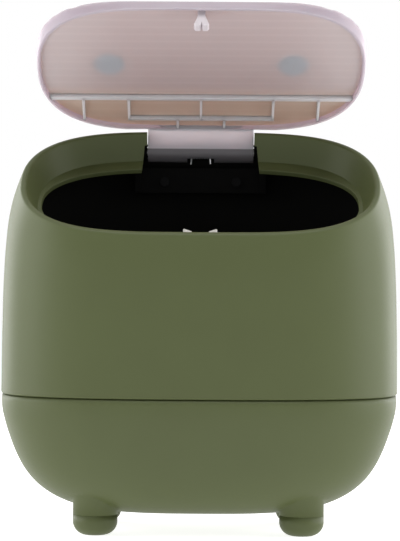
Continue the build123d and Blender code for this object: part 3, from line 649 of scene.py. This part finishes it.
rows = shell_rows()
shell_faces = ring_faces(len(rows), len(TURNS), True)
shell = mesh_piece("upper_shell_finished", rows.reshape(-1, 3), shell_faces, OLIVE)
# The shell's inner rows below the ledge take the near-black painted shade.
shell.data.materials.append(INSIDE_SHADE_PAINT)
face_row = np.arange(len(shell.data.polygons)) // len(TURNS)
painted_shade_faces = (face_row >= len(rows) - INNER_ROWS) & (face_row < len(rows) - 1)
shell.data.polygons.foreach_set("material_index", painted_shade_faces.astype(np.int32))
cut(shell, prism("front_notch", NOTCH + slot_top(NOTCH[0][1]), NOTCH_FRONT, NOTCH_MIDDLE))
cut(shell, prism("rear_notch", NOTCH, NOTCH_MIDDLE - 0.1, NOTCH_BACK))
cut(shell, prism("arm_slot", slot_top(SLOT_FLOOR), NOTCH_MIDDLE - 0.1, SLOT_BACK))
latch_high, latch_low = RECESS_DEPTH - 1.0, RECESS_DEPTH + LEDGE + 1.0
cut(shell, ledge_box("latch_opening", LATCH_HALF_WIDE, LATCH_HALF_LONG, LATCH_AT, latch_high, latch_low))
shell.data.set_sharp_from_angle(angle=np.radians(30.0))
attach(shell, "shell")
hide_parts("upper_shell")
print("upper shell", len(shell.data.polygons), "faces")

# %% [markdown]
# The lid is a shallow tray turned upside down. Its top carries ridges from side to side, so the
# surface is a polar grid over the oval whose height follows the ridge at that distance from the
# hinge. Seen from below, the scalloped ends of the ridges make its edge.

# %% Lid
LID_LONG, LID_WIDE, LID_HIGH, LID_WALL = 91.2, 79.7, 5.0, 1.5
LID_UNDER = 2.6
RIDGE_DEEP = 0.85
LID_TURNS = np.linspace(0, 2 * pi, 640, endpoint=False)
SKIRT_TOP = LID_HIGH - 0.9
LID_EDGE_Y, LID_EDGE_Z = 42.74, 193.79
LID_TILT = np.radians(36.0)
TAPER_SIDE, TAPER_END = 0.4, 0.3
PIN_Y, PIN_Z, SWING_R, STRAP_HALF = 46.0, 183.0, 12.2, 26.4
LID_POWERS, FRONT_LOW, FRONT_TOP = (4.0, 2.3), (4.2, 2.5), (4.7, 2.85)


def open_place(flat):
    """The lid's flat coordinates, in millimetres, set at its open place, in metres.

    Beside the strap, the skirt's rear corners stay clear of the rim that they swing past.
    """
    along, up = flat[:, 1] + TAPER_END, flat[:, 2]
    y = LID_EDGE_Y + along * np.cos(LID_TILT) + up * np.sin(LID_TILT)
    z = LID_EDGE_Z - along * np.sin(LID_TILT) + up * np.cos(LID_TILT)
    far = np.hypot(y - PIN_Y, z - PIN_Z)
    push = np.where(np.abs(flat[:, 0]) > STRAP_HALF, np.maximum(SWING_R / far, 1.0), 1.0)
    y, z = PIN_Y + (y - PIN_Y) * push, PIN_Z + (z - PIN_Z) * push
    return np.column_stack([flat[:, 0], y, z]) * MM


def ridge_height(along):
    """Height of the ridged top: a row of arcs, each RIDGE_DEEP high over one pitch."""
    pitch = RIDGE_PITCH / MM
    phase = (np.mod(-along, pitch) / pitch - 0.5) * 2
    radius = (RIDGE_DEEP ** 2 + (pitch / 2) ** 2) / (2 * RIDGE_DEEP)
    return LID_HIGH - radius + np.sqrt(radius ** 2 - (phase * pitch / 2) ** 2)


def lid_reach(up):
    """Reach of the lid's oval: its front half is squarer, and most of all at the top, where up is 1."""
    front = [low + (top - low) * up for low, top in zip(FRONT_LOW, FRONT_TOP)]
    return np.where(np.sin(LID_TURNS) < 0, oval_reach(LID_TURNS, *front), oval_reach(LID_TURNS, *LID_POWERS))


def lid_row(share, height, inset_side=0.0, inset_end=0.0):
    """One ring of the lid at a share of the way out from its middle."""
    reach = lid_reach(max(0.0, 1.0 - inset_side / TAPER_SIDE)) * share
    x = (LID_WIDE - inset_side) * reach * np.cos(LID_TURNS)
    y = (LID_LONG / 2 - inset_end) * reach * np.sin(LID_TURNS) - LID_LONG / 2
    top = ridge_height(y)
    z = np.minimum(height, top) if np.isfinite(height) else top
    return np.column_stack([x, y, z])


def lid_tray():
    rows = [lid_row(share, np.inf) for share in np.linspace(0.012, 0.988, 170)]
    rows += [lid_row(0.995, LID_HIGH - 0.15), lid_row(1.0, SKIRT_TOP)]
    for height in (3.0, 1.8, 0.6):
        drop = (SKIRT_TOP - height) / SKIRT_TOP
        rows.append(lid_row(1.0, height, TAPER_SIDE * drop, TAPER_END * drop))
    rows.append(lid_row(1.0, 0.15, TAPER_SIDE, TAPER_END))
    rows.append(lid_row(1.0, 0.0, TAPER_SIDE + 0.2, TAPER_END + 0.2))
    rows.append(lid_row(1.0, 0.0, TAPER_SIDE + LID_WALL - 0.2, TAPER_END + LID_WALL - 0.2))
    rows.append(lid_row(1.0, 0.15, TAPER_SIDE + LID_WALL, TAPER_END + LID_WALL))
    inner_side, inner_end = 0.6 * TAPER_SIDE + LID_WALL, 0.6 * TAPER_END + LID_WALL
    rows.append(lid_row(1.0, LID_UNDER - 0.3, inner_side, inner_end))
    columns = len(LID_TURNS)
    ceiling_start = len(rows) * columns
    shares = np.linspace(1.0, 0.04, 60)
    rows += [lid_row(share, LID_UNDER, inner_side + 0.3, inner_end + 0.3) for share in shares]
    flat = np.concatenate(rows)
    faces = ring_faces(len(rows), columns, False)
    first, last = len(flat), len(flat) + 1
    start = (len(rows) - 1) * columns
    middle = -LID_LONG / 2
    poles = np.array([(0.0, middle, float(ridge_height(np.array([middle]))[0])), (0.0, middle, LID_UNDER)])
    faces += [[i, (i + 1) % columns, first] for i in range(columns)]
    faces += [[start + (i + 1) % columns, start + i, last] for i in range(columns)]
    ceiling = [*range(ceiling_start, len(flat)), last]
    return np.concatenate([flat, poles]), faces, ceiling


INSIDE_HALF_WIDE = LID_WIDE - TAPER_SIDE - LID_WALL
INSIDE_HALF_LONG = LID_LONG / 2 - TAPER_END - LID_WALL
RIB_SINK = 0.4


def inside_wide(s):
    """Half width of the tray's inside at a distance from its rear edge, and a little into the wall."""
    share = np.clip(np.abs(s - LID_LONG / 2) / INSIDE_HALF_LONG, 0, 1)
    across, along = LID_POWERS
    return INSIDE_HALF_WIDE * (1 - share ** along) ** (1 / across) + RIB_SINK


def inside_from(x):
    """Distance from the rear edge at which the tray's inside begins, at a place across it."""
    share = np.abs(x) / INSIDE_HALF_WIDE
    across, along = LID_POWERS
    return LID_LONG / 2 - INSIDE_HALF_LONG * (1 - share ** across) ** (1 / along) - RIB_SINK


RIB, RIB_LOW, RIB_HIGH = 1.2, 0.4, 3.2
RIB_SIDES = [[0, 1, 3, 2], [4, 6, 7, 5], [0, 4, 5, 1], [2, 3, 7, 6], [0, 2, 6, 4], [1, 5, 7, 3]]


def lid_rib(x0, x1, s0, s1):
    """Corners of one rib in the lid's flat coordinates, trimmed to the tray's inside."""
    crosswise = x1 - x0 > s1 - s0
    corners = []
    for x in (x0, x1):
        for s in (s0, s1):
            wide = np.clip(x, -inside_wide(s), inside_wide(s)) if crosswise else x
            ahead = s if crosswise else max(s, inside_from(x))
            corners += [(wide, -ahead, RIB_LOW), (wide, -ahead, RIB_HIGH)]
    return np.array(corners)


RIBS = (
    (-80.0, 80.0, 23.4, 25.4),
    (-36.3, 36.3, 8.0, 9.2),
    (-58.0 - RIB / 2, -58.0 + RIB / 2, 0.0, 24.0),
    (58.0 - RIB / 2, 58.0 + RIB / 2, 0.0, 24.0),
    (-35.7 - RIB / 2, -35.7 + RIB / 2, 8.6, 24.0),
    (35.7 - RIB / 2, 35.7 + RIB / 2, 8.6, 24.0),
    (-RIB / 2, RIB / 2, 8.6, 24.0),
    (-11.6 - RIB / 2, -11.6 + RIB / 2, 1.5, 8.6),
    (11.6 - RIB / 2, 11.6 + RIB / 2, 1.5, 8.6),
)


def make_lid():
    flat, faces, ceiling = lid_tray()
    ribs_start = len(flat)
    for rib in RIBS:
        faces += [[len(flat) + i for i in side] for side in RIB_SIDES]
        flat = np.concatenate([flat, lid_rib(*rib)])
    lid = mesh_piece("lid_shell_finished", open_place(flat), faces, LID_PALE)
    marks = np.zeros(len(flat))
    marks[ceiling] = 1.0
    marks[ribs_start:] = 2.0
    kept = lid.data.attributes.new("flat", "FLOAT_VECTOR", "POINT")
    values = np.column_stack([flat[:, :2] * MM, marks])
    kept.data.foreach_set("vector", values.astype(np.float32).ravel())
    lid.data.set_sharp_from_angle(angle=np.radians(40.0))
    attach(lid, "lid")
    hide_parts("lid_shell")
    return lid


lid = make_lid()
print("lid", len(lid.data.polygons), "faces")

# %% [markdown]
# The floor is a wide pale plane that glows a little, as a table lit from all around does. Rays that
# look at it find it brighter still, so that it reaches white and keeps the shadow of the bin.

# %% Floor
FLOOR_LIGHT, FLOOR_GLOW = 0.65, 0.85


def make_floor():
    corners = np.array([(-6, -6, 0), (6, -6, 0), (6, 6, 0), (-6, 6, 0)], float)
    finish = Finish("pale_floor", 1.0, Specular_IOR_Level=0.0, Emission_Strength=1.0)
    finish.shader.inputs["Base Color"].default_value = (0.92, 0.92, 0.92, 1.0)
    levels = {"Value": Wire(finish, looked_at(finish.tree)), "To Min": FLOOR_LIGHT, "To Max": FLOOR_GLOW}
    finish.feed("Emission Color", finish.node("ShaderNodeMapRange", {}, levels))
    floor = mesh_piece("floor", corners, [[0, 1, 2, 3]], finish.material)


make_floor()
